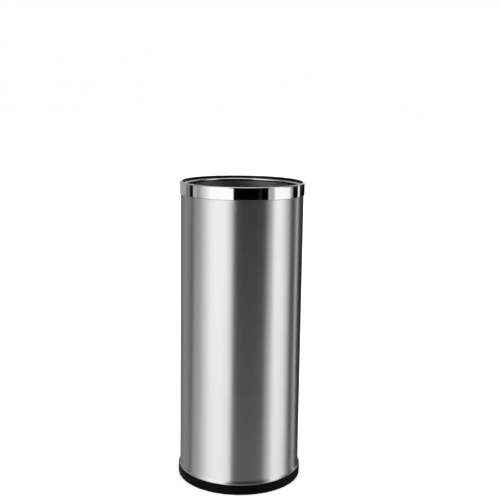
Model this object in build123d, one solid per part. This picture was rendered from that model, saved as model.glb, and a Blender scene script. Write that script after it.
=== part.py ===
from build123d import *
import math
import os

# Round umbrella stand: a brushed steel barrel under a mirror collar, on a rubber ring,
# with a galvanised liner that lifts out by its wire bail.
# Millimetres. Origin at the centre of the floor face, +Z up, the bail folded towards -Y.

# Overall sizes
overall_height = 608.5
barrel_radius = 123.0           # outside of the barrel's straight wall

# Barrel sheet
barrel_sheet = 0.7
flare_reach = 2.6               # how far the bottom edge is rolled outwards
flare_angle = 28.0              # degrees from upright where the long flare meets its lip
lip_angle = 70.0                # degrees from upright at the very edge
lip_bend = 1.6                  # outside radius of the short lip that ends the flare
weld_groove_width = 0.5
weld_groove_depth = 0.2
barrel_top_gap = 0.3            # under the collar's rounded top

# Mirror collar
collar_sheet = 0.8
collar_proud = 2.0              # outside of the skirt beyond the barrel
collar_skirt = 25.0
collar_top_width = 4.2
collar_flange = 9.0             # depth of the inner flange below the rim
hem_radius = 0.95
hem_height = 6.0                # from the skirt's foot to the folded edge inside it

# Rubber base ring
ring_height = 19.5
ring_proud = 3.4                # widest point beyond the barrel
ring_foot_draw = 0.3            # how far the foot stands in from the widest point
ring_top_draw = 0.2             # the same at the top edge
ring_foot_width = 5.0           # ring of rubber that touches the floor
ring_foot_taper = 2.0           # inside of the foot, widening down to the floor
ring_web_reach = 22.0           # inner web, from the barrel wall inwards
ring_web_bottom = 4.0
ring_web_thickness = 6.0
ring_edge_fillet = 0.5

# Bottom pan
pan_sheet = 0.8
pan_flange = 28.0               # reaches past the flare, so that it is welded to the straight wall
pan_bend = 2.0

# Screws and washers under the ring
screw_count = 6
screw_inset = 13.0              # screw circle, in from the barrel wall
screw_shank_radius = 2.0
screw_tip_above_pan = 2.6
screw_head_radius = 3.9
screw_head_height = 2.3
screw_head_round = 1.0
screw_slot_width = 1.1
screw_slot_depth = 1.2
screw_slot_length = 4.7
washer_radius = 5.0
washer_thickness = 0.8

# Liner
liner_gap = 1.2                 # between the rolled rim and the collar's flange
liner_rim_drop = 5.5            # rolled rim below the collar's top
liner_sheet = 0.6
rim_wire_radius = 2.15
rim_curl_turn = 300.0           # degrees that the sheet is rolled round its wire
liner_floor_rise = 5.0          # liner floor above the foot of its seam
liner_seam_height = 5.6
seam_inner_bend = 0.2           # inside the fold at the foot of the wall
drip_well_radius = 84.0
drip_well_depth = 2.0
drip_well_slope = 3.0

# Ears and bail
pivot_below_rim = 20.0
ear_sheet = 1.5
ear_width = 40.0
ear_above_pivot = 9.0
ledge_reach = 6.4
ledge_length = 30.0
bail_wire_radius = 1.5
bail_stand_off = 2.8            # between the ear's face and the wire
bail_corner = 3.0
bail_hook_corner = 2.0
bail_hook_length = 7.0
bail_hook_gap = 0.5             # between the hook and the outside of the wall
rivet_spacing = 26.0
rivet_above_pivot = 4.5
rivet_shank_radius = 1.6
rivet_head_radius = 3.0
rivet_head_height = 1.1
rivet_head_round = 0.7

# Clearances
fit = 0.05                      # wires and screws in their holes
sheet_fit = 0.1                 # between nested sheets of one body
seat_gap = 0.1                  # under a piece that rests on another
moving_gap = 0.3                # between a moving piece and its stop
washer_hole_gap = 0.25
through = 10.0                  # extra length of a bar that cuts a hole

# Derived places
collar_radius = barrel_radius + collar_proud
mouth_radius = collar_radius - collar_top_width
ring_radius = barrel_radius + ring_proud
barrel_inner = barrel_radius - barrel_sheet
pan_radius = barrel_inner - sheet_fit
pan_bottom = ring_web_bottom + ring_web_thickness
pan_top = pan_bottom + pan_sheet
screw_circle = barrel_radius - screw_inset

rim_curl_radius = rim_wire_radius + fit + liner_sheet
liner_inner = mouth_radius - liner_gap - 2 * rim_curl_radius
liner_outer = liner_inner + liner_sheet
rim_wire_circle = liner_inner + rim_curl_radius
rim_wire_height = overall_height - liner_rim_drop - rim_curl_radius
liner_foot = pan_top + seat_gap
seam_bend = liner_sheet + seam_inner_bend
liner_floor = liner_foot + liner_floor_rise

pivot_height = overall_height - liner_rim_drop - pivot_below_rim
ear_outer = liner_inner - fit
ear_inner = ear_outer - ear_sheet
bail_radius = ear_inner - bail_stand_off - bail_wire_radius
hook_x = liner_outer + bail_hook_gap + bail_wire_radius
ledge_top = pivot_height - bail_wire_radius - moving_gap

os.makedirs("parts", exist_ok=True)


def turned(section):
    """Turn a section drawn in radius and height once round the stand's axis."""
    return revolve(Plane.XZ * section, Axis.Z, 360)


def sheet_section(path, thickness, side):
    """Close a bent sheet's section: one face of the sheet, thickened to one side."""
    return make_face(offset(path, amount=thickness, side=side, closed=True))


def round_bar(radius, start, length):
    """An upright round bar that starts at a height."""
    return Pos(0, 0, start) * Cylinder(radius, length, align=(Align.CENTER, Align.CENTER, Align.MIN))


def sagitta(circle_radius, half_width):
    """How far a round wall falls away from its tangent over half a width."""
    return circle_radius - math.sqrt(circle_radius ** 2 - half_width ** 2)


def around(count, radius):
    """Evenly spaced places on a circle."""
    return PolarLocations(radius, count, start_angle=180 / count)


def barrel_shell():
    """Rolled and butt-welded sheet whose bottom edge is flared out over the ring, with a lip."""
    turn = math.radians(flare_angle)
    lip_turn = math.radians(lip_angle)
    lip_reach = lip_bend * (math.cos(turn) - math.cos(lip_turn))
    lip_drop = lip_bend * (math.sin(lip_turn) - math.sin(turn))
    bend = (flare_reach - lip_reach) / (1 - math.cos(turn))
    edge_height = ring_height + barrel_sheet * math.sin(lip_turn) + seat_gap
    lip_start = (barrel_radius + flare_reach - lip_reach, edge_height + lip_drop)
    bend_start = edge_height + lip_drop + bend * math.sin(turn)
    top = overall_height - collar_sheet - barrel_top_gap
    wall = Line((barrel_radius, top), (barrel_radius, bend_start))
    flare = TangentArc((barrel_radius, bend_start), lip_start, tangent=(0, -1))
    lip = TangentArc(lip_start, (barrel_radius + flare_reach, edge_height), tangent=flare % 1)
    shell = turned(sheet_section(wall + flare + lip, barrel_sheet, Side.RIGHT))
    groove_height = top - bend_start - collar_skirt
    groove = Box(
        weld_groove_width,
        2 * weld_groove_depth,
        groove_height,
        align=(Align.CENTER, Align.CENTER, Align.MIN),
    )
    return shell - Pos(0, barrel_radius, bend_start) * groove


def top_collar():
    """Half-round rim with a long outer skirt, hemmed below, and a short inner flange."""
    round_radius = collar_top_width / 2
    round_height = overall_height - round_radius
    skirt_bottom = overall_height - collar_skirt
    fold_height = skirt_bottom + hem_radius
    fold_radius = collar_radius - hem_radius
    flange = Line((mouth_radius, overall_height - collar_flange), (mouth_radius, round_height))
    rim = ThreePointArc(
        (mouth_radius, round_height),
        (mouth_radius + round_radius, overall_height),
        (collar_radius, round_height),
    )
    skirt = Line((collar_radius, round_height), (collar_radius, fold_height))
    fold = ThreePointArc(
        (collar_radius, fold_height),
        (fold_radius, skirt_bottom),
        (fold_radius - hem_radius, fold_height),
    )
    hem_inside = fold_radius - hem_radius
    hem = Line((hem_inside, fold_height), (hem_inside, skirt_bottom + hem_height))
    return turned(sheet_section(flange + rim + skirt + fold + hem, collar_sheet, Side.RIGHT))


def base_ring():
    """Moulded rim with a full outside, a step for the pan and a web for the screws."""
    foot_radius = ring_radius - ring_foot_draw
    top_radius = ring_radius - ring_top_draw
    foot_inner = foot_radius - ring_foot_width
    step_radius = pan_radius + 2 * sheet_fit
    web_inner = barrel_radius - ring_web_reach
    outside = ThreePointArc((foot_radius, 0), (ring_radius, ring_height / 2), (top_radius, ring_height))
    inside = Polyline(
        (top_radius, ring_height),
        (step_radius, ring_height),
        (step_radius, pan_bottom),
        (web_inner, pan_bottom),
        (web_inner, ring_web_bottom),
        (foot_inner - ring_foot_taper, ring_web_bottom),
        (foot_inner, 0),
        (foot_radius, 0),
    )
    section = make_face(outside + inside)
    outer_corners = section.vertices().sort_by(Axis.X)[-2:]
    ring = turned(fillet(outer_corners, ring_edge_fillet))
    hole = round_bar(screw_shank_radius + washer_hole_gap, 0, ring_height)
    return ring - around(screw_count, screw_circle) * hole


def base_pan():
    """Pressed disc that closes the barrel, its flange turned up and welded inside the wall."""
    flange_top = (pan_radius, pan_bottom + pan_flange)
    path = FilletPolyline(flange_top, (pan_radius, pan_bottom), (0, pan_bottom), radius=pan_bend)
    hole = round_bar(screw_shank_radius + fit, 0, ring_height)
    return turned(sheet_section(path, pan_sheet, Side.RIGHT)) - around(screw_count, screw_circle) * hole


def base_ring_washers():
    """Flat washers that spread each screw's load over the rubber."""
    washer = round_bar(washer_radius, ring_web_bottom - washer_thickness, washer_thickness)
    washer -= round_bar(screw_shank_radius + washer_hole_gap, 0, ring_height)
    return around(screw_count, screw_circle) * washer


def base_ring_screws():
    """Pan head screws driven up through washer, rubber and pan."""
    head_top = ring_web_bottom - washer_thickness
    head_bottom = head_top - screw_head_height
    screw = round_bar(screw_head_radius, head_bottom, screw_head_height)
    screw = fillet(screw.edges().group_by(Axis.Z)[0], screw_head_round)
    screw += round_bar(screw_shank_radius, head_top, pan_top + screw_tip_above_pan - head_top)
    slot = Box(screw_slot_length, screw_slot_width, 2 * screw_slot_depth)
    screw -= Pos(0, 0, head_bottom) * slot
    screw -= Pos(0, 0, head_bottom) * Rot(0, 0, 90) * slot
    return around(screw_count, screw_circle) * screw


def pivot_bore(radius):
    """A bar along the bail's axis that cuts both pivot holes."""
    return Pos(0, 0, pivot_height) * Rot(0, 90, 0) * Cylinder(radius, 2 * (liner_outer + through))


def rivet_places():
    """Each rivet's turn about the stand's axis, with its side of the liner."""
    swing = math.degrees(math.asin(rivet_spacing / 2 / liner_outer))
    return [side + swing * way for side in (0, 180) for way in (-1, 1)]


def rivet_bores(radius):
    """Bars that cut the four rivet holes."""
    bar = Pos(liner_inner, 0, pivot_height + rivet_above_pivot) * Rot(0, 90, 0) * Cylinder(radius, through)
    return [Rot(0, 0, turn) * bar for turn in rivet_places()]


def liner_wall():
    """Rolled sheet whose top edge is curled outwards round a wire."""
    foot = liner_foot + liner_sheet + sheet_fit
    centre = (rim_wire_circle, rim_wire_height)
    curl_outside = CenterArc(centre, rim_curl_radius, 180, -rim_curl_turn)
    curl_inside = CenterArc(centre, rim_curl_radius - liner_sheet, 180, -rim_curl_turn)
    section = make_face([
        Line((liner_inner, foot), curl_outside @ 0),
        curl_outside,
        Line(curl_outside @ 1, curl_inside @ 1),
        curl_inside,
        Line(curl_inside @ 0, (liner_outer, foot)),
        Line((liner_outer, foot), (liner_inner, foot)),
    ])
    shell = turned(section)
    return shell - pivot_bore(bail_wire_radius + fit) - rivet_bores(rivet_shank_radius + fit)


def liner_rim_wire():
    """Wire hoop inside the curled rim."""
    return Pos(0, 0, rim_wire_height) * Torus(rim_wire_circle, rim_wire_radius)


def liner_bottom():
    """Pressed floor with a drip well, folded round the foot of the wall."""
    inner_leg = liner_inner - sheet_fit - liner_sheet
    outer_leg = liner_outer + sheet_fit + liner_sheet
    well = drip_well_radius - drip_well_slope
    path = FilletPolyline(
        (outer_leg, liner_foot + liner_seam_height),
        (outer_leg, liner_foot),
        (inner_leg, liner_foot),
        (inner_leg, liner_floor),
        (drip_well_radius, liner_floor),
        (well, liner_floor - drip_well_depth),
        (0, liner_floor - drip_well_depth),
        radius=seam_bend,
    )
    return turned(sheet_section(path, liner_sheet, Side.RIGHT))


def liner_ear(turn):
    """Curved plate riveted inside the wall, with a ledge that the folded bail lies on."""
    ledge_bottom = ledge_top - ear_sheet
    plate_height = pivot_height + ear_above_pivot - ledge_bottom
    plate = round_bar(ear_outer, ledge_bottom, plate_height)
    plate -= round_bar(ear_inner, ledge_bottom, plate_height)
    ledge = round_bar(ear_outer, ledge_bottom, ear_sheet)
    ledge -= round_bar(ear_inner - ledge_reach, ledge_bottom, ear_sheet)
    side = (Align.MIN, Align.CENTER, Align.CENTER)
    near_plate = Box(liner_outer, ear_width, 2 * overall_height, align=side)
    near_ledge = Box(liner_outer, ledge_length, 2 * overall_height, align=side)
    ear = (plate & near_plate) + (ledge & near_ledge)
    ear -= pivot_bore(bail_wire_radius + fit)
    ear = Rot(0, 0, turn) * ear
    return ear - rivet_bores(rivet_shank_radius + fit)


def liner_ear_rivets():
    """Round rivets that hold the ears, headed on both sides of the wall."""
    inner_seat = ear_inner - sagitta(ear_inner, rivet_head_radius)
    inner_head = Cylinder(rivet_head_radius, rivet_head_height, align=(Align.CENTER, Align.CENTER, Align.MAX))
    inner_head = fillet(inner_head.edges().group_by(Axis.Z)[0], rivet_head_round)
    outer_head = Cylinder(rivet_head_radius, rivet_head_height, align=(Align.CENTER, Align.CENTER, Align.MIN))
    outer_head = fillet(outer_head.edges().group_by(Axis.Z)[-1], rivet_head_round)
    shank_length = liner_outer - inner_seat
    shank = Cylinder(rivet_shank_radius, shank_length, align=(Align.CENTER, Align.CENTER, Align.MIN))
    rivet = inner_head + shank + Pos(0, 0, shank_length) * outer_head
    placed = Pos(inner_seat, 0, pivot_height + rivet_above_pivot) * Rot(0, 90, 0) * rivet
    return [Rot(0, 0, turn) * placed for turn in rivet_places()]


def bail_handle():
    """Half hoop of wire whose ends pass through the ears and hook back outside the wall."""
    corner_x = math.sqrt((bail_radius + bail_corner) ** 2 - bail_corner ** 2)
    share = bail_radius / (bail_radius + bail_corner)
    joint_x = corner_x * share
    joint_y = -bail_corner * share
    hook_start = hook_x - bail_hook_corner
    turned_in = math.radians(135) - math.atan2(bail_corner, corner_x) / 2
    corner_mid = (
        corner_x + bail_corner * math.cos(turned_in),
        -bail_corner + bail_corner * math.sin(turned_in),
    )
    half = [
        Line((hook_x, bail_hook_length), (hook_x, bail_hook_corner)),
        TangentArc((hook_x, bail_hook_corner), (hook_start, 0), tangent=(0, -1)),
        Line((hook_start, 0), (corner_x, 0)),
        ThreePointArc((corner_x, 0), corner_mid, (joint_x, joint_y)),
    ]
    hoop = ThreePointArc((joint_x, joint_y), (0, -bail_radius), (-joint_x, joint_y))
    other_half = [mirror(edge, about=Plane.YZ) for edge in half]
    path = Wire([edge for piece in half + [hoop] + other_half for edge in piece.edges()])
    end = Plane(origin=(hook_x, bail_hook_length, 0), z_dir=(0, -1, 0))
    return Pos(0, 0, pivot_height) * sweep(end * Circle(bail_wire_radius), path)


nodes = {
    "barrel_shell": barrel_shell(),
    "top_collar": top_collar(),
    "base_ring": base_ring(),
    "base_pan": base_pan(),
    "base_ring_washers": base_ring_washers(),
    "base_ring_screws": base_ring_screws(),
    "liner_wall": liner_wall(),
    "liner_rim_wire": liner_rim_wire(),
    "liner_bottom": liner_bottom(),
    "liner_ear_right": liner_ear(0),
    "liner_ear_left": liner_ear(180),
    "liner_ear_rivets": liner_ear_rivets(),
    "bail_handle": bail_handle(),
}

for name, shape in nodes.items():
    solids = shape.solids() if hasattr(shape, "solids") else [piece.solid() for piece in shape]
    export_step(Compound(children=solids), f"parts/{name}.step")
    print(name, len(solids), "solids", round(sum(solid.volume for solid in solids)), "mm3")
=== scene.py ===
"""Looks of a round steel umbrella stand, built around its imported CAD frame.

The barrel, collar, base ring, liner wall and bail are surfaces worked out from a section or a
path. Every other piece keeps its CAD shape and gets its real finish. Lengths are metres unless
their name says millimetres, and +Z is up.
"""

import logging
import math
from dataclasses import dataclass
from enum import Enum
from typing import Callable

import bpy
import numpy as np
from mathutils import Matrix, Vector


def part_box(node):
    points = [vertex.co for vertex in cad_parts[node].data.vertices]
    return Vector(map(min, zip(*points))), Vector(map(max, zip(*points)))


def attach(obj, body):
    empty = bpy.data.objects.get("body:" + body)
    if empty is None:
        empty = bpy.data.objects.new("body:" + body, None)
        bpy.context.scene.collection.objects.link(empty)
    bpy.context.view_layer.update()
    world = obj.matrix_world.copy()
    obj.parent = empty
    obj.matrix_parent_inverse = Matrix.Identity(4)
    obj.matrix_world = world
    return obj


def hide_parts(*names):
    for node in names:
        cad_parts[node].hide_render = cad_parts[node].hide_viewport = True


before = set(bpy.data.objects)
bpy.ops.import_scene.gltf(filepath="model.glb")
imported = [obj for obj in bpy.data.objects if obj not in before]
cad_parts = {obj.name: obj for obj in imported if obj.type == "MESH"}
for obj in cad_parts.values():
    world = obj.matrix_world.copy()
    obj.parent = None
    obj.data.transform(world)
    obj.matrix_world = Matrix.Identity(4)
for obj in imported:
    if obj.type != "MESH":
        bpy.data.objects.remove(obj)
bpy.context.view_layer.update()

log = logging.getLogger("umbrella_stand")

Tree = bpy.types.NodeTree
Socket = bpy.types.NodeSocket
Colour = tuple[float, float, float, float]
Spot = tuple[float, float]      # radius from the stand's axis and height above its floor

MM = 0.001
TURN = 2 * math.pi
BACK = TURN / 4                 # the side where the sheets' seams are
REPEAT = 1e-7                   # points closer than this count as one
SATURATED = 32.0                # exponent past which a soft step is wholly on or off
NOISE_MIDDLE = {"From Min": 0.3, "From Max": 0.7}       # most of a noise lies between these
COLOUR_A, COLOUR_B, COLOUR_RESULT = 6, 7, 2             # sockets of a Mix node that mixes colours


# ---------------------------------------------------------------- small tools


def linear(colour: str) -> Colour:
    """Turns an sRGB hex colour into linear RGBA.

    Args:
        colour: six hex digits with a leading hash.

    Returns:
        Linear red, green, blue and an alpha of one.
    """
    srgb = np.array([int(colour[i : i + 2], 16) for i in (1, 3, 5)]) / 255
    scene = np.where(srgb <= 0.04045, srgb / 12.92, ((srgb + 0.055) / 1.055) ** 2.4)
    return (*scene.tolist(), 1.0)


def grey(level: float) -> Colour:
    """A neutral light of one level."""
    return (level, level, level, 1.0)


def node(tree: Tree, kind: str, sockets: dict | None = None, **settings: object) -> bpy.types.Node:
    """Adds a shader node.

    Args:
        tree: the tree that it joins.
        kind: Blender's name for the node type, without its ShaderNode start.
        sockets: input name or number to a value, or to the output that feeds it.
        settings: fields of the node itself.

    Returns:
        The new node.
    """
    made = tree.nodes.new("ShaderNode" + kind)
    for name, value in settings.items():
        setattr(made, name, value)
    for key, value in (sockets or {}).items():
        if isinstance(value, Socket):
            tree.links.new(value, made.inputs[key])
        else:
            made.inputs[key].default_value = value
    return made


# ---------------------------------------------------------------- sections and surfaces


def arc(centre: Spot, radius: float, start: float, stop: float, steps: int) -> np.ndarray:
    """Points on a circle's arc: centre plus radius times (cosine, sine) of evenly spaced angles.

    Args:
        centre: middle of the arc.
        radius: the arc's own radius.
        start: first angle in degrees, 0 pointing outwards and 90 up.
        stop: last angle in degrees.
        steps: how many chords the arc is cut into.

    Returns:
        An array of steps + 1 points.
    """
    angles = np.radians(np.linspace(start, stop, steps + 1))
    return np.array(centre) + radius * np.column_stack((np.cos(angles), np.sin(angles)))


def run(start: Spot, stop: Spot, pitch: float = 20 * MM, least: int = 6) -> np.ndarray:
    """Points along a straight stretch of a section, close together near both of its ends.

    The share of the way is half of one minus the cosine of evenly spaced angles, which keeps
    the shading of a long flat stretch from bending where it meets a small corner.

    Args:
        start: first point.
        stop: last point.
        pitch: each such length adds one more step.
        least: how many steps the shortest stretch has.

    Returns:
        The points, both ends included.
    """
    ends = np.array(start, float), np.array(stop, float)
    steps = least + int(np.linalg.norm(ends[1] - ends[0]) / pitch)
    share = (1 - np.cos(np.linspace(0, math.pi, steps + 1))) / 2
    return ends[0] + share[:, None] * (ends[1] - ends[0])


def joined(*pieces: np.ndarray) -> np.ndarray:
    """Puts stretches end to end, dropping each point that repeats the one before it.

    Args:
        pieces: the stretches, each an array of points.

    Returns:
        One array of points.
    """
    points = np.concatenate(pieces)
    apart = np.linalg.norm(points - np.roll(points, 1, axis=0), axis=1) > REPEAT
    return points[apart]


def surface(name: str, points: np.ndarray, close_rows: bool) -> bpy.types.Object:
    """Makes a mesh from a grid of points that is closed across its columns.

    Quad i, j joins grid points (i, j), (i, j + 1), (i + 1, j + 1), (i + 1, j). The UV map gives
    the length along the first row and along the first column, in metres.

    Args:
        name: the piece's name.
        points: array of rows by columns by 3. Columns go round and come back to the first.
        close_rows: whether the last row joins the first. Otherwise each end gets a face.

    Returns:
        The object, at the origin, with its place in its mesh.
    """
    rows, columns = points.shape[:2]
    number = np.arange(rows * columns).reshape(rows, columns)
    low = number if close_rows else number[:-1]
    high = np.roll(number, -1, axis=0) if close_rows else number[1:]
    corners = (low, np.roll(low, -1, axis=1), np.roll(high, -1, axis=1), high)
    quads = np.stack(corners, axis=-1).reshape(-1, 4)
    faces = quads.tolist()
    if not close_rows:
        faces += [number[0][::-1].tolist(), number[-1].tolist()]
    mesh = bpy.data.meshes.new(name)
    mesh.from_pydata(points.reshape(-1, 3), [], faces)
    along = np.linalg.norm(np.roll(points[0], -1, axis=0) - points[0], axis=1)
    across = np.linalg.norm(np.roll(points[:, 0], -1, axis=0) - points[:, 0], axis=1)
    u = np.concatenate(([0.0], np.cumsum(along)))
    v = np.concatenate(([0.0], np.cumsum(across)))
    column = quads[:, 0] % columns
    row = quads[:, 0] // columns
    uv = np.stack((
        np.column_stack((u[column], v[row])),
        np.column_stack((u[column + 1], v[row])),
        np.column_stack((u[column + 1], v[row + 1])),
        np.column_stack((u[column], v[row + 1])),
    ), axis=1)
    flat = np.zeros((len(mesh.loops), 2))
    flat[: quads.size] = uv.reshape(-1, 2)
    mesh.uv_layers.new(name="Surface").data.foreach_set("uv", flat.ravel())
    mesh.shade_smooth()
    mesh.validate()
    made = bpy.data.objects.new(name, mesh)
    bpy.context.scene.collection.objects.link(made)
    return made


def turned(
    name: str,
    section: np.ndarray,
    angles: np.ndarray,
    relief: Callable[[np.ndarray, np.ndarray], np.ndarray] | None = None,
) -> bpy.types.Object:
    """Turns a closed section round the stand's axis.

    A point is (r cos a, r sin a, z), where r is the section's radius plus the relief there.

    Args:
        name: the piece's name.
        section: closed outline as radius and height, its outer side drawn upwards.
        angles: the turn of each column, in radians.
        relief: gives the radial offset from arrays of angle and height.

    Returns:
        The piece.
    """
    turn, radius = np.meshgrid(angles, section[:, 0])
    height = np.repeat(section[:, 1:], len(angles), axis=1)
    if relief is not None:
        radius = radius + relief(turn, height)
    points = np.stack((radius * np.cos(turn), radius * np.sin(turn), height), axis=-1)
    return surface(name, points, close_rows=True)


def full_turn(
    columns: int, fine_at: float | None = None, fine_width: float = 0.06, fine_columns: int = 81
) -> np.ndarray:
    """Angles of a whole turn, with extra ones about a seam.

    Args:
        columns: how many evenly spaced angles there are.
        fine_at: middle of the seam in radians, or None.
        fine_width: how far the extra angles reach either side of it.
        fine_columns: how many extra angles there are.

    Returns:
        The angles in rising order.
    """
    angles = np.linspace(0, TURN, columns, endpoint=False)
    if fine_at is None:
        return angles
    extra = fine_at + fine_width * np.linspace(-1, 1, fine_columns)
    kept_off = 1.02 * fine_width        # a little past the extra angles, so that no two coincide
    away = np.abs(angles - fine_at) > kept_off
    return np.sort(np.concatenate((angles[away], extra)))


def wire(
    name: str, path: np.ndarray, radius: float, sides: int = 24, end_share: float = 0.72
) -> bpy.types.Object:
    """Draws a round wire along a level path.

    A ring at a path point is the point plus radius times (cosine of a times the level normal,
    plus sine of a times up). The first and last rings are smaller, which breaks the cuts' edges.

    Args:
        name: the piece's name.
        path: points by 3, all at one height.
        radius: half the wire's thickness.
        sides: points in each ring.
        end_share: radius of the first and last rings, as a share of the wire's.

    Returns:
        The piece.
    """
    ahead = np.gradient(path, axis=0)
    ahead /= np.linalg.norm(ahead, axis=1)[:, None]
    beside = np.column_stack((ahead[:, 1], -ahead[:, 0], np.zeros(len(path))))
    turn = np.linspace(0, TURN, sides, endpoint=False)
    level = beside[:, None] * np.cos(turn)[None, :, None]
    upright = np.array((0, 0, 1)) * np.sin(turn)[None, :, None]
    thickness = np.full(len(path), radius)
    thickness[[0, -1]] = end_share * radius
    rings = path[:, None] + thickness[:, None, None] * (level + upright)
    return surface(name, rings, close_rows=False)


# ---------------------------------------------------------------- finishes


@dataclass(frozen=True)
class Finish:
    """What every finish shares: a name, a base colour and a roughness with its swing."""

    name: str
    colour: str
    roughness: float = 0.3
    smoother_by: float = 0.04
    duller_by: float = 0.06

    def start(self) -> tuple[bpy.types.Material, Tree, Socket]:
        """Makes an empty material.

        Returns:
            The material, its tree and the object coordinates.
        """
        material = bpy.data.materials.new(self.name)
        material.use_nodes = True
        tree = material.node_tree
        tree.nodes.clear()
        return material, tree, node(tree, "TexCoord").outputs["Object"]

    def mottled(self, tree: Tree, noise: Socket, other: str) -> Socket:
        """Lets the colour follow a noise, from the finish's own to another.

        Args:
            tree: the material's tree.
            noise: the noise's value.
            other: the other colour, as hex.

        Returns:
            The colour.
        """
        share = node(tree, "MapRange", {"Value": noise, **NOISE_MIDDLE}).outputs[0]
        colours = {"Factor": share, COLOUR_A: linear(self.colour), COLOUR_B: linear(other)}
        return node(tree, "Mix", colours, data_type="RGBA").outputs[COLOUR_RESULT]

    def roughened(self, tree: Tree, noise: Socket) -> Socket:
        """Lets the roughness follow a noise, from a little smoother to a little duller.

        Args:
            tree: the material's tree.
            noise: the noise's value.

        Returns:
            The roughness.
        """
        swing = {"To Min": self.roughness - self.smoother_by, "To Max": self.roughness + self.duller_by}
        return node(tree, "MapRange", {"Value": noise, **NOISE_MIDDLE, **swing}).outputs[0]

    @staticmethod
    def shaded(tree: Tree, sockets: dict) -> None:
        """Adds the main shader with its sockets, and the output that it feeds."""
        shader = node(tree, "BsdfPrincipled", sockets)
        node(tree, "OutputMaterial", {"Surface": shader.outputs[0]})


@dataclass(frozen=True)
class BrushedStainless(Finish):
    """Satin stainless sheet, dressed with an abrasive belt before it was rolled.

    The belt leaves fine level lines, which smear each reflection up and down and leave it much
    crisper from side to side, so the barrel shows soft upright bands.
    """

    second_colour: str = "#dadada"
    edge_colour: str = "#a8a8a8"
    roughness: float = 0.31
    smoother_by: float = 0.025
    duller_by: float = 0.025
    drift: float = 0.012            # how far broad clouds take the roughness either way
    anisotropy: float = 0.86
    grain_turn: float = 0.25        # a quarter turn lays the lines round the barrel
    line_mm: float = 0.9            # belt lines are near 0.1 mm, drawn this coarse so that they show
    line_length_mm: float = 70.0
    line_depth_mm: float = 0.05
    line_relief: float = 0.06
    cloud_mm: float = 90.0

    def build(self) -> bpy.types.Material:
        """Builds the material.

        Returns:
            The material.
        """
        material, tree, place = self.start()
        long, fine = 1 / (self.line_length_mm * MM), 1 / (self.line_mm * MM)
        stretched = node(tree, "Mapping", {"Vector": place, "Scale": (long, long, fine)}).outputs[0]
        lines = node(tree, "TexNoise", {"Vector": stretched, "Scale": 1.0, "Detail": 3.0}).outputs[0]
        clouds = node(tree, "TexNoise", {"Vector": place, "Scale": 1 / (self.cloud_mm * MM), "Detail": 2.0})
        swing = {"To Min": -self.drift, "To Max": self.drift}
        drift = node(tree, "MapRange", {"Value": clouds.outputs[0], **NOISE_MIDDLE, **swing}).outputs[0]
        rough = node(tree, "Math", {0: self.roughened(tree, lines), 1: drift}, operation="ADD")
        depth = {"Height": lines, "Strength": self.line_relief, "Distance": self.line_depth_mm * MM}
        self.shaded(tree, {
            "Base Color": self.mottled(tree, lines, self.second_colour),
            "Metallic": 1.0,
            "Roughness": rough.outputs[0],
            "Normal": node(tree, "Bump", depth).outputs[0],
            "Specular Tint": linear(self.edge_colour),
            "Anisotropic": self.anisotropy,
            "Anisotropic Rotation": self.grain_turn,
            "Tangent": node(tree, "Tangent", direction_type="RADIAL", axis="Z").outputs[0],
        })
        return material


@dataclass(frozen=True)
class MirrorStainless(Finish):
    """Stainless strip buffed to a mirror after it was spun.

    It repeats the studio's panels with hard edges. Buffing leaves the faintest haze and a slow
    waviness, so those edges are not ruler-straight. Inside the mouth and under the hem the colour
    is painted dark and the roughness raised, a painted shade.
    """

    # colour of the painted shade inside the mouth and under the hem
    painted_shade_colour: str = "#2c2c2d"
    roughness: float = 0.035
    smoother_by: float = 0.0105
    duller_by: float = 0.0105
    painted_shade_roughness: float = 0.22
    painted_shade_inside_mm: float = 0.0    # radius from the axis inside which the shade is painted
    painted_shade_below_mm: float = 0.0     # height under which the shade is painted
    painted_shade_fade_mm: float = 0.4
    haze_mm: float = 6.0
    wave_mm: float = 26.0
    wave_depth_mm: float = 0.4
    wave_relief: float = 0.06

    def build(self) -> bpy.types.Material:
        """Builds the material.

        Returns:
            The material.
        """
        material, tree, place = self.start()
        level = node(tree, "VectorMath", {0: place, 1: (1.0, 1.0, 0.0)}, operation="MULTIPLY")
        radius = node(tree, "VectorMath", {0: level.outputs[0]}, operation="LENGTH").outputs["Value"]
        height = node(tree, "SeparateXYZ", {0: place}).outputs["Z"]
        # painted shade: darker colour and higher roughness inside the mouth and under the hem
        masks = []
        for value, limit in ((radius, self.painted_shade_inside_mm), (height, self.painted_shade_below_mm)):
            edge = {"Value": value, "From Min": limit * MM, "From Max": (limit + self.painted_shade_fade_mm) * MM}
            masks.append(node(tree, "MapRange", edge).outputs[0])
        outside_painted_shade = node(tree, "Math", {0: masks[0], 1: masks[1]}, operation="MULTIPLY").outputs[0]
        colours = {"Factor": outside_painted_shade, COLOUR_A: linear(self.painted_shade_colour), COLOUR_B: linear(self.colour)}
        haze = node(tree, "TexNoise", {"Vector": place, "Scale": 1 / (self.haze_mm * MM), "Detail": 5.0})
        bright = self.roughened(tree, haze.outputs[0])
        rough = {"Value": outside_painted_shade, "To Min": self.painted_shade_roughness, "To Max": bright}
        waves = node(tree, "TexNoise", {"Vector": place, "Scale": 1 / (self.wave_mm * MM), "Detail": 0.0})
        depth = {
            "Height": waves.outputs[0],
            "Strength": self.wave_relief,
            "Distance": self.wave_depth_mm * MM,
        }
        self.shaded(tree, {
            "Base Color": node(tree, "Mix", colours, data_type="RGBA").outputs[COLOUR_RESULT],
            "Metallic": 1.0,
            "Roughness": node(tree, "MapRange", rough).outputs[0],
            "Normal": node(tree, "Bump", depth).outputs[0],
        })
        return material


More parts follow.
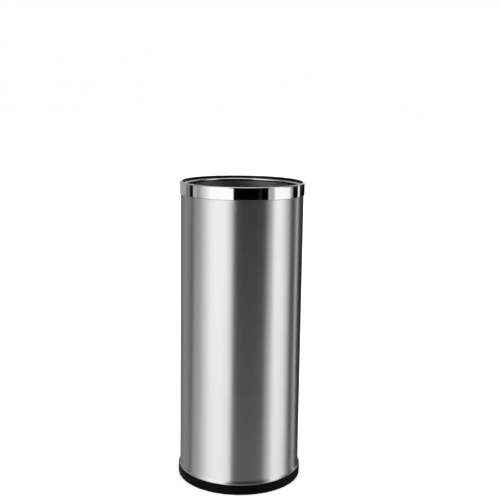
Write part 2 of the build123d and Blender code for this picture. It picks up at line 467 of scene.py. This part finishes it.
@dataclass(frozen=True)
class GalvanisedSheet(Finish):
    """Steel sheet dipped in zinc.

    The zinc freezes in flat crystals, each a little lighter or duller than the next, over a
    satin grey that only shows what stands in front of it as a blur. The rolled rim is rubbed
    smoother by hands and painted lighter, a painted highlight; a band below it is painted shade.
    """

    light_colour: str = "#a9abae"
    # painted highlight along the rubbed rim
    rubbed_highlight_colour: str = "#d8d9da"
    # painted shade in a band under the rolled rim
    painted_crease_shade_colour: str = "#2a2a2a"
    roughness: float = 0.36
    smoother_by: float = 0.03
    duller_by: float = 0.04
    rubbed_roughness: float = 0.15
    crystal_mm: float = 9.0
    sway_scale: float = 1.7             # waves in the crystals' edges, to one crystal
    sway_share: float = 0.5             # how far those waves go, as a share of a crystal
    rubbed_highlight_from_mm: float = 5000.0      # height of the smoother rubbed rim with its painted highlight, past every piece unless it is set
    # height of the painted shade band under the rim
    painted_shade_band_mm: float = 2.0
    fade_mm: float = 0.5

    def build(self) -> bpy.types.Material:
        """Builds the material.

        Returns:
            The material.
        """
        material, tree, place = self.start()
        scale = 1 / (self.crystal_mm * MM)
        bent = node(tree, "TexNoise", {"Vector": place, "Scale": scale * self.sway_scale, "Detail": 2.0})
        by = {0: bent.outputs["Color"], "Scale": self.crystal_mm * MM * self.sway_share}
        sway = node(tree, "VectorMath", by, operation="SCALE")
        moved = node(tree, "VectorMath", {0: place, 1: sway.outputs[0]}, operation="ADD")
        crystals = node(tree, "TexVoronoi", {"Vector": moved.outputs[0], "Scale": scale})
        shade = node(tree, "SeparateColor", {0: crystals.outputs["Color"]}).outputs[0]
        height = node(tree, "SeparateXYZ", {0: place}).outputs["Z"]
        # painted highlight above the rim's start height, painted shade in a band just below it
        start, fade = self.rubbed_highlight_from_mm * MM, self.fade_mm * MM
        painted_shade_top = start - self.painted_shade_band_mm * MM
        rubbed_highlight = self.risen(tree, height, start, start + fade)
        layers = (
            (shade, self.light_colour),
            (self.risen(tree, height, painted_shade_top - fade, painted_shade_top), self.painted_crease_shade_colour),
            (rubbed_highlight, self.rubbed_highlight_colour),
        )
        colour = linear(self.colour)
        for share, layer in layers:
            colours = {"Factor": share, COLOUR_A: colour, COLOUR_B: linear(layer)}
            colour = node(tree, "Mix", colours, data_type="RGBA").outputs[COLOUR_RESULT]
        swing = {"To Min": self.roughness - self.smoother_by, "To Max": self.roughness + self.duller_by}
        satin = node(tree, "MapRange", {"Value": shade, **swing}).outputs[0]
        rough = {"Value": rubbed_highlight, "To Min": satin, "To Max": self.rubbed_roughness}
        self.shaded(tree, {
            "Base Color": colour,
            "Metallic": 1.0,
            "Roughness": node(tree, "MapRange", rough).outputs[0],
        })
        return material

    @staticmethod
    def risen(tree: Tree, height: Socket, start: float, stop: float) -> Socket:
        """A share that grows from nought to one between two heights."""
        return node(tree, "MapRange", {"Value": height, "From Min": start, "From Max": stop}).outputs[0]


@dataclass(frozen=True)
class BrightSteel(Finish):
    """Drawn or turned steel under a thin bright zinc plate, as on wire, rivets and screws.

    It gives a small sharp highlight over a slightly uneven grey.
    """

    dull_colour: str = "#8d8f90"
    roughness: float = 0.24
    smoother_by: float = 0.06
    duller_by: float = 0.10
    scuff_mm: float = 2.5

    def build(self) -> bpy.types.Material:
        """Builds the material.

        Returns:
            The material.
        """
        material, tree, place = self.start()
        scuffs = node(tree, "TexNoise", {"Vector": place, "Scale": 1 / (self.scuff_mm * MM), "Detail": 4.0})
        self.shaded(tree, {
            "Base Color": self.mottled(tree, scuffs.outputs[0], self.dull_colour),
            "Metallic": 1.0,
            "Roughness": self.roughened(tree, scuffs.outputs[0]),
        })
        return material


@dataclass(frozen=True)
class MouldedRubber(Finish):
    """Black rubber from a spark-eroded mould.

    The eroded mould leaves a fine even tooth, which turns the studio's panels into one broad
    low sheen.
    """

    bloom_colour: str = "#080808"
    roughness: float = 0.5
    duller_by: float = 0.05
    specular: float = 0.05
    tooth_mm: float = 0.8           # the real tooth is near 0.1 mm, drawn this coarse so that it shows
    tooth_depth_mm: float = 0.06
    tooth_relief: float = 0.25
    bloom_mm: float = 24.0

    def build(self) -> bpy.types.Material:
        """Builds the material.

        Returns:
            The material.
        """
        material, tree, place = self.start()
        tooth = node(tree, "TexNoise", {"Vector": place, "Scale": 1 / (self.tooth_mm * MM), "Detail": 3.0})
        bloom = node(tree, "TexNoise", {"Vector": place, "Scale": 1 / (self.bloom_mm * MM), "Detail": 3.0})
        depth = {
            "Height": tooth.outputs[0],
            "Strength": self.tooth_relief,
            "Distance": self.tooth_depth_mm * MM,
        }
        self.shaded(tree, {
            "Base Color": self.mottled(tree, bloom.outputs[0], self.bloom_colour),
            "Roughness": self.roughened(tree, bloom.outputs[0]),
            "Normal": node(tree, "Bump", depth).outputs[0],
            "Specular IOR Level": self.specular,
        })
        return material


@dataclass(frozen=True)
class StovedEnamel(Finish):
    """Black enamel stoved on pressed steel. It gives a low, slightly rippled gloss."""

    roughness: float = 0.33
    ripple_mm: float = 3.0
    ripple_depth_mm: float = 0.1
    ripple_relief: float = 0.1

    def build(self) -> bpy.types.Material:
        """Builds the material.

        Returns:
            The material.
        """
        material, tree, place = self.start()
        ripple = node(tree, "TexNoise", {"Vector": place, "Scale": 1 / (self.ripple_mm * MM), "Detail": 2.0})
        depth = {
            "Height": ripple.outputs[0],
            "Strength": self.ripple_relief,
            "Distance": self.ripple_depth_mm * MM,
        }
        self.shaded(tree, {
            "Base Color": linear(self.colour),
            "Roughness": self.roughened(tree, ripple.outputs[0]),
            "Normal": node(tree, "Bump", depth).outputs[0],
        })
        return material


# ---------------------------------------------------------------- pieces


def dress(piece: bpy.types.Object, material: bpy.types.Material) -> None:
    """Gives a piece one material."""
    piece.data.materials.clear()
    piece.data.materials.append(material)


def place_piece(
    piece: bpy.types.Object, material: bpy.types.Material, body: str, node_name: str
) -> bpy.types.Object:
    """Dresses a new piece, puts it on its body and lets it stand for its CAD node.

    Args:
        piece: the finished mesh.
        material: its finish.
        body: the CAD body that it rides on.
        node_name: the CAD node that it replaces.

    Returns:
        The same piece.
    """
    dress(piece, material)
    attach(piece, body)
    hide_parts(node_name)
    log.info("%s: %d faces on body %s", piece.name, len(piece.data.polygons), body)
    return piece


# ---------------------------------------------------------------- the outer stand


@dataclass
class OuterStand:
    """Barrel, mirror collar and rubber ring, with the pan and its screws underneath."""

    sheet: float = 0.7 * MM
    flare_angle: float = 28.0
    lip_angle: float = 70.0
    lip_bend: float = 1.6 * MM
    collar_proud: float = 2.0 * MM
    collar_sheet: float = 0.8 * MM
    collar_top_width: float = 4.2 * MM
    collar_flange: float = 9.0 * MM
    hem_radius: float = 0.95 * MM
    hem_height: float = 6.0 * MM
    ring_foot_draw: float = 0.3 * MM
    ring_top_draw: float = 0.2 * MM
    ring_soft_edge: float = 0.5 * MM
    ring_sharp_edge: float = 0.25 * MM
    ring_foot_width: float = 5.0 * MM
    ring_foot_taper: float = 2.0 * MM
    ring_web_bottom: float = 4.0 * MM
    ring_web_reach: float = 22.0 * MM
    ring_side_lean: float = 10.0        # degrees by which the soft edges stop short of upright
    pan_clearance: float = 0.2 * MM
    painted_shade_over_edge_mm: float = 0.35    # painted shade reaches this far beyond the flange and above the hem's foot
    weld_width: float = 1.4 * MM
    weld_depth: float = 0.10 * MM
    edge_radius: float = 0.12 * MM
    columns: int = 540
    edge_steps: int = 4
    round_steps: int = 8
    lip_steps: int = 10
    flare_steps: int = 14
    hem_steps: int = 16
    roll_steps: int = 28
    roll_inside_steps: int = 20
    bulge_steps: int = 24

    @property
    def barrel_radius(self) -> float:
        """Outside of the barrel's straight wall."""
        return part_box("top_collar")[1].x - self.collar_proud

    def weld(self, turn: np.ndarray, height: np.ndarray) -> np.ndarray:
        """Relief of the dressed weld: a shallow bell-shaped dip at the back, the full height."""
        across = (turn - BACK) * self.barrel_radius
        return -self.weld_depth * np.exp(-((across / self.weld_width) ** 2))

    def barrel(self) -> bpy.types.Object:
        """The sheet's section: lip, long flare, outside up, inside down and round the lip's edge.

        The flare is an arc that leaves the wall upright, and the lip a tighter arc that carries
        on from it. The inside follows both at the sheet's thickness, and a half circle joins them.

        Returns:
            The piece.
        """
        low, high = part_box("barrel_shell")
        wall, inside, r = self.barrel_radius, self.barrel_radius - self.sheet, self.edge_radius
        flare, lip = math.radians(self.flare_angle), math.radians(self.lip_angle)
        lip_reach = self.lip_bend * (math.cos(flare) - math.cos(lip))
        bend = (high.x - wall - lip_reach) / (1 - math.cos(flare))
        drop = (bend - self.lip_bend) * math.sin(flare)
        start = low.z + drop + (self.lip_bend + self.sheet) * math.sin(lip)
        flare_at = (wall + bend, start)
        lip_at = (flare_at[0] - (bend - self.lip_bend) * math.cos(flare), start - drop)
        joint = 180 + self.flare_angle
        end = 180 + self.lip_angle - math.degrees(self.sheet / 2 / self.lip_bend)
        edge_at = arc(lip_at, self.lip_bend + self.sheet / 2, end, end, 1)[0]
        section = joined(
            arc(lip_at, self.lip_bend, end, joint, self.lip_steps),
            arc(flare_at, bend, joint, 180, self.flare_steps),
            run((wall, start), (wall, high.z - r)),
            arc((wall - r, high.z - r), r, 0, 90, self.edge_steps),
            arc((inside + r, high.z - r), r, 90, 180, self.edge_steps),
            run((inside, high.z - r), (inside, start)),
            arc(flare_at, bend + self.sheet, 180, joint, self.flare_steps),
            arc(lip_at, self.lip_bend + self.sheet, joint, end, self.lip_steps),
            arc(edge_at, self.sheet / 2, end, end + 180, self.round_steps),
        )
        return turned("barrel_sheet", section, full_turn(self.columns, BACK), self.weld)

    def collar(self) -> bpy.types.Object:
        """The strip's section: skirt up, over the half-round top, down the flange and back inside.

        The top is a half circle as wide as the collar's top, and the hem a smaller half circle
        that turns up behind the skirt's foot. The inside follows both at the strip's thickness.

        Returns:
            The piece.
        """
        low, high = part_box("top_collar")
        outer, top, foot = high.x, high.z, low.z
        t, roll, hem = self.collar_sheet, self.collar_top_width / 2, self.hem_radius
        roll_at = (outer - roll, top - roll)
        fold_at = (outer - hem, foot + hem)
        mouth = outer - 2 * roll
        hem_inside = outer - 2 * hem
        r = self.edge_radius
        flange_low = top - self.collar_flange
        hem_top = foot + self.hem_height - r
        section = joined(
            run((outer, foot + hem), (outer, top - roll)),
            arc(roll_at, roll, 0, 180, self.roll_steps),
            run((mouth, top - roll), (mouth, flange_low + r)),
            arc((mouth + r, flange_low + r), r, 180, 270, self.edge_steps),
            arc((mouth + t - r, flange_low + r), r, 270, 360, self.edge_steps),
            run((mouth + t, flange_low + r), (mouth + t, top - roll)),
            arc(roll_at, roll - t, 180, 0, self.roll_inside_steps),
            run((outer - t, top - roll), (outer - t, foot + hem)),
            arc(fold_at, hem - t, 0, -180, self.round_steps),
            run((hem_inside + t, foot + hem), (hem_inside + t, hem_top)),
            arc((hem_inside + t - r, hem_top), r, 0, 90, self.edge_steps),
            arc((hem_inside + r, hem_top), r, 90, 180, self.edge_steps),
            run((hem_inside, hem_top), (hem_inside, foot + hem)),
            arc(fold_at, hem, 180, 360, self.hem_steps),
        )
        return turned("collar_strip", section, full_turn(self.columns))

    def ring(self) -> bpy.types.Object:
        """The rubber's section: outside up, over its top step and down round the foot.

        The outside bulges by the draw times the square of the way from its middle.

        Returns:
            The piece.
        """
        low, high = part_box("base_ring")
        pan_low, pan_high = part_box("base_pan")
        widest, top, soft, lip = high.x, high.z, self.ring_soft_edge, self.ring_sharp_edge
        foot, shoulder = widest - self.ring_foot_draw, widest - self.ring_top_draw
        web_inner = self.barrel_radius - self.ring_web_reach
        step = pan_high.x + self.pan_clearance
        foot_inner = foot - self.ring_foot_width
        taper_top = foot_inner - self.ring_foot_taper
        lean = self.ring_side_lean
        share = np.linspace(-1, 1, self.bulge_steps + 1)
        height = low.z + (top - low.z) * (share + 1) / 2
        bulge = widest - np.where(share < 0, self.ring_foot_draw, self.ring_top_draw) * share**2
        body = np.column_stack((bulge, height))[(height > low.z + soft) & (height < top - soft)]
        section = joined(
            arc((foot - soft, low.z + soft), soft, 270, 360 - lean, self.round_steps),
            body,
            arc((shoulder - soft, top - soft), soft, lean, 90, self.round_steps),
            run((shoulder - soft, top), (step + lip, top)),
            arc((step + lip, top - lip), lip, 90, 180, self.edge_steps),
            run((step, top - lip), (step, pan_low.z)),
            run((step, pan_low.z), (web_inner + lip, pan_low.z)),
            arc((web_inner + lip, pan_low.z - lip), lip, 90, 180, self.edge_steps),
            arc((web_inner + lip, self.ring_web_bottom + lip), lip, 180, 270, self.edge_steps),
            run((web_inner + lip, self.ring_web_bottom), (taper_top, self.ring_web_bottom)),
            run((taper_top, self.ring_web_bottom), (foot_inner, low.z + lip)),
            run((foot_inner + lip, low.z), (foot - soft, low.z)),
        )
        return turned("rubber_ring", section, full_turn(self.columns))

    def build(self) -> None:
        """Builds and dresses every piece of the outer stand."""
        brushed = BrushedStainless("brushed_stainless", "#d4d4d4").build()
        foot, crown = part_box("top_collar")
        # the mirror collar gets painted shade inside its mouth and under its hem
        mirror = MirrorStainless(
            "mirror_stainless",
            "#dadada",
            painted_shade_inside_mm=(crown.x - self.collar_top_width) / MM + self.painted_shade_over_edge_mm,
            painted_shade_below_mm=foot.z / MM + self.painted_shade_over_edge_mm,
        ).build()
        rubber = MouldedRubber("moulded_rubber", "#040404").build()
        enamel = StovedEnamel("black_stoved_enamel", "#1b1b1c").build()
        zinc = BrightSteel("zinc_plated_steel", "#c2c3c1").build()
        place_piece(self.barrel(), brushed, "barrel", "barrel_shell")
        place_piece(self.collar(), mirror, "barrel", "top_collar")
        place_piece(self.ring(), rubber, "barrel", "base_ring")
        dress(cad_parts["base_pan"], enamel)
        for name in ("base_ring_washers", "base_ring_screws"):
            dress(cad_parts[name], zinc)


# ---------------------------------------------------------------- the liner and its bail


@dataclass
class Liner:
    """Galvanised bucket inside the barrel: wall, curled rim, floor, ears and rivets."""

    sheet: float = 0.6 * MM
    curl_turn: float = 300.0
    lock_seam_width: float = 5.0 * MM
    lock_seam_height: float = 0.35 * MM
    lock_seam_shoulder: float = 0.1 * MM
    lock_seam_run_out: float = 6.0 * MM
    lock_seam_below_rim: float = 4.0 * MM
    seam_past_weld: float = 14.0        # degrees round from the barrel's weld
    # the rim's painted highlight and smoother rubbed finish start this far above the rim wire's foot
    rubbed_highlight_above_wire_foot: float = 1.5 * MM
    columns: int = 480
    curl_steps: int = 48
    curl_inside_steps: int = 40

    @property
    def seam_turn(self) -> float:
        """Where the lock seam is, in radians round the axis."""
        return BACK + math.radians(self.seam_past_weld)

    @property
    def rim(self) -> tuple[float, float, float]:
        """Where the rim's curl is.

        Returns:
            Radius and height of the rim wire's circle, and the curl's outer radius about it.
        """
        wire_low, wire_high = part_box("liner_rim_wire")
        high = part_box("liner_wall")[1]
        level = (wire_low.z + wire_high.z) / 2
        return high.x - (high.z - level), level, high.z - level

    def lock_seam(self, turn: np.ndarray, height: np.ndarray) -> np.ndarray:
        """Relief of the grooved seam: a flat band pushed out at the back, with soft shoulders.

        The band's height is spread by one over one plus e to the minus distance inside its edge,
        and it runs out in a straight slope under the rim.

        Args:
            turn: angle about the stand's axis, in radians.
            height: height above the floor.

        Returns:
            How far the sheet stands out at each place.
        """
        circle, level, curl = self.rim
        across = np.abs(turn - self.seam_turn) * (circle - curl + self.sheet)
        inside = (self.lock_seam_width / 2 - across) / self.lock_seam_shoulder
        inside = np.clip(inside, -SATURATED, SATURATED)
        below_rim = (level - self.lock_seam_below_rim - height) / self.lock_seam_run_out
        return self.lock_seam_height / (1 + np.exp(-inside)) * np.clip(below_rim, 0, 1)

    def wall(self) -> bpy.types.Object:
        """The sheet's section: outside up, round the rim wire and back down the inside.

        The curl is an arc about the rim wire, at the sheet's thickness inside its outer one.

        Returns:
            The piece.
        """
        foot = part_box("liner_wall")[0].z
        circle, level, curl = self.rim
        inner = circle - curl
        outer = inner + self.sheet
        stop = 180 - self.curl_turn
        section = joined(
            run((outer, foot), (outer, level)),
            arc((circle, level), curl - self.sheet, 180, stop, self.curl_inside_steps),
            arc((circle, level), curl, stop, 180, self.curl_steps),
            run((inner, level), (inner, foot)),
        )
        return turned("liner_sheet", section, full_turn(self.columns, self.seam_turn), self.lock_seam)

    def build(self) -> None:
        """Builds and dresses every piece of the liner."""
        galvanised = GalvanisedSheet("galvanised_sheet", "#9b9da0").build()
        # height where the rim's painted highlight and smoother rubbed finish start
        rubbed_highlight = (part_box("liner_rim_wire")[0].z + self.rubbed_highlight_above_wire_foot) / MM
        rimmed = GalvanisedSheet("galvanised_sheet_rubbed_highlight_rim", "#9b9da0", rubbed_highlight_from_mm=rubbed_highlight).build()
        plated = BrightSteel("zinc_plated_rivet", "#bcbdbb").build()
        drawn = BrightSteel("galvanised_wire", "#b4b6b8", roughness=0.3).build()
        place_piece(self.wall(), rimmed, "liner", "liner_wall")
        for name in ("liner_bottom", "liner_ear_right", "liner_ear_left"):
            dress(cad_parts[name], galvanised)
        dress(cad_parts["liner_ear_rivets"], plated)
        dress(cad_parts["liner_rim_wire"], drawn)


@dataclass
class Bail:
    """Half hoop of galvanised wire, hooked through the ears."""

    wire_radius: float = 1.5 * MM
    corner: float = 3.0 * MM
    hook_corner: float = 2.0 * MM
    hook_length: float = 7.0 * MM
    hook_steps: int = 10
    corner_steps: int = 12
    hoop_steps: int = 160

    def path(self) -> np.ndarray:
        """The wire's middle line, from one hook round the hoop to the other.

        Each half is a straight hook, a quarter turn, a straight through the ear, and an arc
        that runs into the hoop, a half circle about the stand's axis. The second half is the
        first one mirrored.

        Returns:
            Points by 3.
        """
        low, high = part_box("bail_handle")
        level = (low.z + high.z) / 2
        hook_x = high.x - self.wire_radius
        hoop = -low.y - self.wire_radius
        corner_x = math.sqrt((hoop + self.corner) ** 2 - self.corner**2)
        swing = math.degrees(math.atan2(self.corner, corner_x))
        half = joined(
            run((hook_x, self.hook_length), (hook_x, self.hook_corner)),
            arc((hook_x - self.hook_corner, self.hook_corner), self.hook_corner, 0, -90, self.hook_steps),
            run((hook_x - self.hook_corner, 0), (corner_x, 0)),
            arc((corner_x, -self.corner), self.corner, 90, 180 - swing, self.corner_steps),
        )
        other = half[::-1] * np.array((-1, 1))
        whole = joined(half, arc((0, 0), hoop, -swing, swing - 180, self.hoop_steps), other)
        return np.column_stack((whole, np.full(len(whole), level)))

    def build(self) -> None:
        """Builds and dresses the bail."""
        drawn = BrightSteel("bail_wire", "#b9babb", roughness=0.26).build()
        hoop = wire("bail_hoop", self.path(), self.wire_radius)
        place_piece(hoop, drawn, "bail", "bail_handle")


# ---------------------------------------------------------------- studio and camera


class Reach(Enum):
    """How far up a studio panel reaches, with whether it fills the low and the high ring."""

    FLOOR_TO_RIM = (True, False)
    FLOOR_TO_CEILING = (True, True)
    RIM_TO_CEILING = (False, True)


@dataclass(frozen=True)
class Panel:
    """One upright studio panel, as the span of compass that it fills round the stand.

    Angles are degrees from the side that the stand faces, positive to the right. The fades are
    how many degrees each edge takes to reach the panel's level.
    """

    left: float
    right: float
    level: float
    left_fade: float = 2.0
    right_fade: float = 2.0
    reach: Reach = Reach.FLOOR_TO_CEILING

    def shine(self, azimuth: np.ndarray) -> np.ndarray:
        """How bright the panel is: a trapezium over the azimuth, with the two fades as its slopes.

        Args:
            azimuth: where to look, in degrees.

        Returns:
            The brightness at each azimuth.
        """
        rise = (azimuth - self.left) / self.left_fade + 0.5
        fall = (self.right - azimuth) / self.right_fade + 0.5
        return self.level * np.clip(np.minimum(rise, fall), 0, 1)


@dataclass
class Studio:
    """A pale floor under soft top light, ringed by softboxes, grey walls and black gaps."""

    brightest: float = 1.45
    panels: tuple[Panel, ...] = (
        # white wall behind the stand, left of its middle
        Panel(-180, -174, 1.25),
        # grey walls on the left, with a paler strip beside the softbox
        Panel(-171, -125, 0.44, reach=Reach.FLOOR_TO_RIM),
        Panel(-173, -98, 0.38, reach=Reach.RIM_TO_CEILING),
        Panel(-127, -111, 0.24, reach=Reach.FLOOR_TO_RIM),
        Panel(-101, -90, 0.52, right_fade=6, reach=Reach.FLOOR_TO_RIM),
        # large softbox at the left front, wider below the rim
        Panel(-78, -24, 1.38, left_fade=40, right_fade=6),
        Panel(-30, -16, 1.38, reach=Reach.FLOOR_TO_RIM),
        # lamp stand in the dark gap at the front
        Panel(29.5, 35.5, 0.012),
        # softbox at the right front, with a dim flap and a faded end below the rim
        Panel(48, 58, 0.55, reach=Reach.FLOOR_TO_RIM),
        Panel(59, 84, 1.34, left_fade=8, right_fade=6),
        Panel(76, 100, 1.32, right_fade=14, reach=Reach.FLOOR_TO_RIM),
        # strip light on the right and the dull stand beside it, with a grey wall above
        Panel(122.2, 129.2, 1.2, reach=Reach.FLOOR_TO_RIM),
        Panel(129, 138, 0.03, right_fade=4, reach=Reach.FLOOR_TO_RIM),
        Panel(110, 165, 0.38, reach=Reach.RIM_TO_CEILING),
        # white wall behind the stand, right of its middle
        Panel(166, 180, 1.25),
    )
    gap_level: float = 0.001
    high_ring_from: float = -7.0        # elevations in degrees, here and below
    high_ring_to: float = 3.0
    ceiling_level: float = 0.40
    ceiling_from: float = 50.0
    ceiling_to: float = 66.0
    skylight_level: float = 1.3
    skylight_from: float = 66.0
    skylight_to: float = 74.0
    bounce_level: float = 0.70
    bounce_share: float = 0.45
    bounce_from: float = -13.0
    bounce_to: float = -40.0
    floor_colour: str = "#f4f4f2"
    floor_roughness: float = 0.9
    floor_size: float = 60.0
    top_light: float = 3.9
    top_light_spread: float = 75.0
    light_map_width: int = 1024

    def stops(self, panels: list[Panel], left: float, right: float) -> list[tuple[float, float]]:
        """Where one side of the ring of panels changes slope.

        Args:
            panels: the panels that stand in this ring.
            left: azimuth at which this side starts, in degrees.
            right: azimuth at which it ends.

        Returns:
            Pairs of azimuth and level, at both ends and at every panel corner between them.
        """
        corners = {left, right}
        for panel in panels:
            for edge, fade in ((panel.left, panel.left_fade), (panel.right, panel.right_fade)):
                corners.update((edge - fade / 2, edge + fade / 2))
        azimuths = np.array([corner for corner in sorted(corners) if left <= corner <= right])
        levels = np.max([panel.shine(azimuths) for panel in panels], axis=0)
        return list(zip(azimuths.tolist(), np.maximum(levels, self.gap_level).tolist()))

    def ring(self, tree: Tree, azimuth: Socket, panels: list[Panel]) -> Socket:
        """A ring of panels, as two colour ramps over the azimuth, one for each side.

        Args:
            tree: the world's tree.
            azimuth: the azimuth in radians.
            panels: the panels that stand in this ring.

        Returns:
            The light of the ring.
        """
        sides = []
        for left, right in ((-180.0, 0.0), (0.0, 180.0)):
            span = {"Value": azimuth, "From Min": math.radians(left), "From Max": math.radians(right)}
            ramp = node(tree, "ValToRGB", {0: node(tree, "MapRange", span).outputs[0]})
            stops = self.stops(panels, left, right)
            elements = ramp.color_ramp.elements
            while len(elements) < len(stops):
                elements.new(1.0)
            for element, (corner, level) in zip(elements, stops):
                element.position = (corner - left) / (right - left)
                element.color = grey(level / self.brightest)
            sides.append(ramp.outputs[0])
        on_right = node(tree, "Math", {0: azimuth, 1: 0.0}, operation="GREATER_THAN").outputs[0]
        halves = {"Factor": on_right, COLOUR_A: sides[0], COLOUR_B: sides[1]}
        whole = node(tree, "Mix", halves, data_type="RGBA").outputs[COLOUR_RESULT]
        return node(tree, "VectorMath", {0: whole, "Scale": self.brightest}, operation="SCALE").outputs[0]

    @staticmethod
    def above(tree: Tree, height: Socket, start: float, stop: float, most: float = 1.0) -> Socket:
        """A share that grows smoothly between two elevations.

        Args:
            tree: the world's tree.
            height: sine of the elevation.
            start: elevation in degrees at which the share is nought.
            stop: elevation at which it is full.
            most: the full share.

        Returns:
            The share.
        """
        limits = {
            "Value": height,
            "From Min": math.sin(math.radians(start)),
            "From Max": math.sin(math.radians(stop)),
            "To Max": most,
        }
        return node(tree, "MapRange", limits, interpolation_type="SMOOTHSTEP").outputs[0]

    def surroundings(self) -> None:
        """Layers the low ring of panels, the high one, the floor's glow and the ceiling's lights.

        The azimuth is the angle, in the floor's plane, from the side that the stand faces. Where
        the camera looks past the stand it sees plain white.
        """
        world = bpy.data.worlds.new("studio")
        bpy.context.scene.world = world
        world.use_nodes = True
        tree = world.node_tree
        tree.nodes.clear()
        way = node(tree, "SeparateXYZ", {0: node(tree, "TexCoord").outputs["Generated"]})
        to_viewer = node(tree, "Math", {0: way.outputs["Y"], 1: -1.0}, operation="MULTIPLY")
        azimuth = node(tree, "Math", {0: way.outputs["X"], 1: to_viewer.outputs[0]}, operation="ARCTAN2")
        height = way.outputs["Z"]
        low_ring, high_ring = (
            self.ring(tree, azimuth.outputs[0], [panel for panel in self.panels if panel.reach.value[ring]])
            for ring in (0, 1)
        )
        layers = (
            (self.above(tree, height, self.high_ring_from, self.high_ring_to), high_ring),
            (
                self.above(tree, height, self.bounce_from, self.bounce_to, self.bounce_share),
                grey(self.bounce_level),
            ),
            (self.above(tree, height, self.ceiling_from, self.ceiling_to), grey(self.ceiling_level)),
            (self.above(tree, height, self.skylight_from, self.skylight_to), grey(self.skylight_level)),
            (node(tree, "LightPath").outputs["Is Camera Ray"], grey(1.0)),
        )
        light = low_ring
        for share, layer in layers:
            colours = {"Factor": share, COLOUR_A: light, COLOUR_B: layer}
            light = node(tree, "Mix", colours, data_type="RGBA").outputs[COLOUR_RESULT]
        glow = node(tree, "Background", {"Color": light})
        node(tree, "OutputWorld", {"Surface": glow.outputs[0]})
        world.cycles.sampling_method = "MANUAL"
        world.cycles.sample_map_resolution = self.light_map_width

    def top_lamp(self) -> None:
        """A broad soft lamp overhead that lights the floor and stays out of the reflections."""
        lamp = bpy.data.lights.new("top_light", "SUN")
        lamp.energy = self.top_light
        lamp.angle = math.radians(self.top_light_spread)
        made = bpy.data.objects.new("top_light", lamp)
        made.visible_glossy = False
        bpy.context.scene.collection.objects.link(made)

    def floor(self) -> None:
        """A pale level floor under the stand, which the metal doesn't mirror."""
        half = self.floor_size / 2
        corners = [(-half, -half, 0), (half, -half, 0), (half, half, 0), (-half, half, 0)]
        mesh = bpy.data.meshes.new("floor")
        mesh.from_pydata(corners, [], [(0, 1, 2, 3)])
        material = bpy.data.materials.new("pale_floor")
        material.use_nodes = True
        shader = material.node_tree.nodes["Principled BSDF"]
        shader.inputs["Base Color"].default_value = linear(self.floor_colour)
        shader.inputs["Roughness"].default_value = self.floor_roughness
        mesh.materials.append(material)
        made = bpy.data.objects.new("floor", mesh)
        made.visible_glossy = False
        bpy.context.scene.collection.objects.link(made)

    def build(self) -> None:
        """Builds the studio."""
        self.surroundings()
        self.top_lamp()
        self.floor()
        bpy.context.scene.view_settings.view_transform = "Standard"
        log.info("studio: %d panels", len(self.panels))


@dataclass
class Viewpoint:
    """Where the camera stands and how it is held. Angles are degrees, lens and sensor millimetres."""

    distance: float = 1.7627
    height: float = 0.7844
    pitch: float = 9.198
    yaw: float = -0.539
    roll: float = 0.826
    lens: float = 63.64
    sensor: float = 36.0
    rise: float = -0.03

    def build(self) -> None:
        """Makes the camera and gives it to the scene."""
        data = bpy.data.cameras.new("camera")
        data.sensor_width = self.sensor
        data.lens = self.lens
        data.shift_y = self.rise
        made = bpy.data.objects.new("camera", data)
        made.location = (0.0, -self.distance, self.height)
        turn = Matrix.Rotation(math.radians(self.yaw), 3, "Z")
        tilt = Matrix.Rotation(math.radians(90 - self.pitch), 3, "X")
        roll = Matrix.Rotation(math.radians(self.roll), 3, "Z")
        made.rotation_euler = (turn @ tilt @ roll).to_euler()
        bpy.context.scene.collection.objects.link(made)
        bpy.context.scene.camera = made


def main() -> None:
    """Builds the stand, the studio and the camera."""
    logging.basicConfig(level=logging.INFO, format="%(message)s")
    OuterStand().build()
    Liner().build()
    Bail().build()
    Studio().build()
    Viewpoint().build()


if __name__ == "__main__":
    main()
